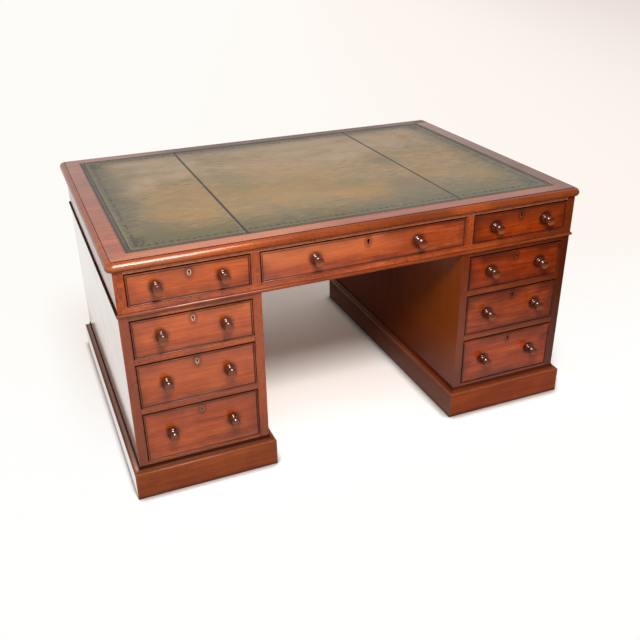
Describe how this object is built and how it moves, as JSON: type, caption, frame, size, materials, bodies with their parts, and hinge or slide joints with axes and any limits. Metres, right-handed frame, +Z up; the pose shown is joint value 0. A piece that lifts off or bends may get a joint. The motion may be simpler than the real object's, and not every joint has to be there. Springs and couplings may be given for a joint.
{
  "type": "partners desk",
  "caption": "Pedestal partners desk in polished mahogany: leather-lined moulded top over a frieze of drawers, drawer pedestals in front, panelled cupboards behind.",
  "frame": {"origin": "on the floor under the middle of the desk", "axes": "+X along the length to the sitter's right, -Y towards the drawer front, +Z up"},
  "size_m": [1.543, 1.104, 0.775],
  "materials": {
    "mahogany": "French-polished mahogany, warm red brown, with straight to figured grain",
    "oak": "plain waxed oak drawer linings",
    "pine": "unpolished pine carcass boards, aged",
    "leather": "hand-shaded olive green hide with blind-tooled border",
    "brass": "aged brass"
  },
  "bodies": {
    "desk": {"top_boards": "mahogany", "leather_panels": "leather", "frieze_ends": "mahogany", "frieze_rails": "mahogany", "frieze_spine": "pine", "frieze_runners": "pine", "frieze_bead": "mahogany", "locating_pegs": "oak", "cupboard_hinges": "brass", "left_pedestal_sides": "mahogany", "left_pedestal_rails": "mahogany", "left_pedestal_boards": "pine", "left_pedestal_runners": "pine", "left_pedestal_plinth": "mahogany", "right_pedestal_sides": "mahogany", "right_pedestal_rails": "mahogany", "right_pedestal_boards": "pine", "right_pedestal_runners": "pine", "right_pedestal_plinth": "mahogany"},
    "frieze_drawer_left": {"frieze_drawer_left_face": "mahogany", "frieze_drawer_left_box": "oak", "frieze_drawer_left_lock": "brass"},
    "frieze_drawer_centre": {"frieze_drawer_centre_face": "mahogany", "frieze_drawer_centre_box": "oak", "frieze_drawer_centre_lock": "brass"},
    "frieze_drawer_right": {"frieze_drawer_right_face": "mahogany", "frieze_drawer_right_box": "oak", "frieze_drawer_right_lock": "brass"},
    "rear_frieze_drawer_left": {"rear_frieze_drawer_left_face": "mahogany", "rear_frieze_drawer_left_box": "oak", "rear_frieze_drawer_left_lock": "brass"},
    "rear_frieze_drawer_centre": {"rear_frieze_drawer_centre_face": "mahogany", "rear_frieze_drawer_centre_box": "oak", "rear_frieze_drawer_centre_lock": "brass"},
    "rear_frieze_drawer_right": {"rear_frieze_drawer_right_face": "mahogany", "rear_frieze_drawer_right_box": "oak", "rear_frieze_drawer_right_lock": "brass"},
    "left_drawer_upper": {"left_drawer_upper_face": "mahogany", "left_drawer_upper_box": "oak", "left_drawer_upper_lock": "brass"},
    "left_drawer_middle": {"left_drawer_middle_face": "mahogany", "left_drawer_middle_box": "oak", "left_drawer_middle_lock": "brass"},
    "left_drawer_lower": {"left_drawer_lower_face": "mahogany", "left_drawer_lower_box": "oak", "left_drawer_lower_lock": "brass"},
    "right_drawer_upper": {"right_drawer_upper_face": "mahogany", "right_drawer_upper_box": "oak", "right_drawer_upper_lock": "brass"},
    "right_drawer_middle": {"right_drawer_middle_face": "mahogany", "right_drawer_middle_box": "oak", "right_drawer_middle_lock": "brass"},
    "right_drawer_lower": {"right_drawer_lower_face": "mahogany", "right_drawer_lower_box": "oak", "right_drawer_lower_lock": "brass"},
    "left_door": {"left_door_frame": "mahogany", "left_door_brass": "brass"},
    "right_door": {"right_door_frame": "mahogany", "right_door_brass": "brass"}
  },
  "joints": [
    {"name": "frieze_drawer_left_slide", "type": "slide", "parent": "desk", "child": "frieze_drawer_left", "axis": [0, -1, 0], "range_m": [0, 0.36]},
    {"name": "frieze_drawer_centre_slide", "type": "slide", "parent": "desk", "child": "frieze_drawer_centre", "axis": [0, -1, 0], "range_m": [0, 0.36]},
    {"name": "frieze_drawer_right_slide", "type": "slide", "parent": "desk", "child": "frieze_drawer_right", "axis": [0, -1, 0], "range_m": [0, 0.36]},
    {"name": "rear_frieze_drawer_left_slide", "type": "slide", "parent": "desk", "child": "rear_frieze_drawer_left", "axis": [0, 1, 0], "range_m": [0, 0.36]},
    {"name": "rear_frieze_drawer_centre_slide", "type": "slide", "parent": "desk", "child": "rear_frieze_drawer_centre", "axis": [0, 1, 0], "range_m": [0, 0.36]},
    {"name": "rear_frieze_drawer_right_slide", "type": "slide", "parent": "desk", "child": "rear_frieze_drawer_right", "axis": [0, 1, 0], "range_m": [0, 0.36]},
    {"name": "left_drawer_upper_slide", "type": "slide", "parent": "desk", "child": "left_drawer_upper", "axis": [0, -1, 0], "range_m": [0, 0.36]},
    {"name": "left_drawer_middle_slide", "type": "slide", "parent": "desk", "child": "left_drawer_middle", "axis": [0, -1, 0], "range_m": [0, 0.36]},
    {"name": "left_drawer_lower_slide", "type": "slide", "parent": "desk", "child": "left_drawer_lower", "axis": [0, -1, 0], "range_m": [0, 0.36]},
    {"name": "right_drawer_upper_slide", "type": "slide", "parent": "desk", "child": "right_drawer_upper", "axis": [0, -1, 0], "range_m": [0, 0.36]},
    {"name": "right_drawer_middle_slide", "type": "slide", "parent": "desk", "child": "right_drawer_middle", "axis": [0, -1, 0], "range_m": [0, 0.36]},
    {"name": "right_drawer_lower_slide", "type": "slide", "parent": "desk", "child": "right_drawer_lower", "axis": [0, -1, 0], "range_m": [0, 0.36]},
    {"name": "left_door_hinge", "type": "hinge", "parent": "desk", "child": "left_door", "pos_m": [-0.7239, 0.5179, 0.35575], "axis": [0, 0, 1], "range_deg": [0, 110]},
    {"name": "right_door_hinge", "type": "hinge", "parent": "desk", "child": "right_door", "pos_m": [0.7239, 0.5179, 0.35575], "axis": [0, 0, -1], "range_deg": [0, 110]}
  ]
}
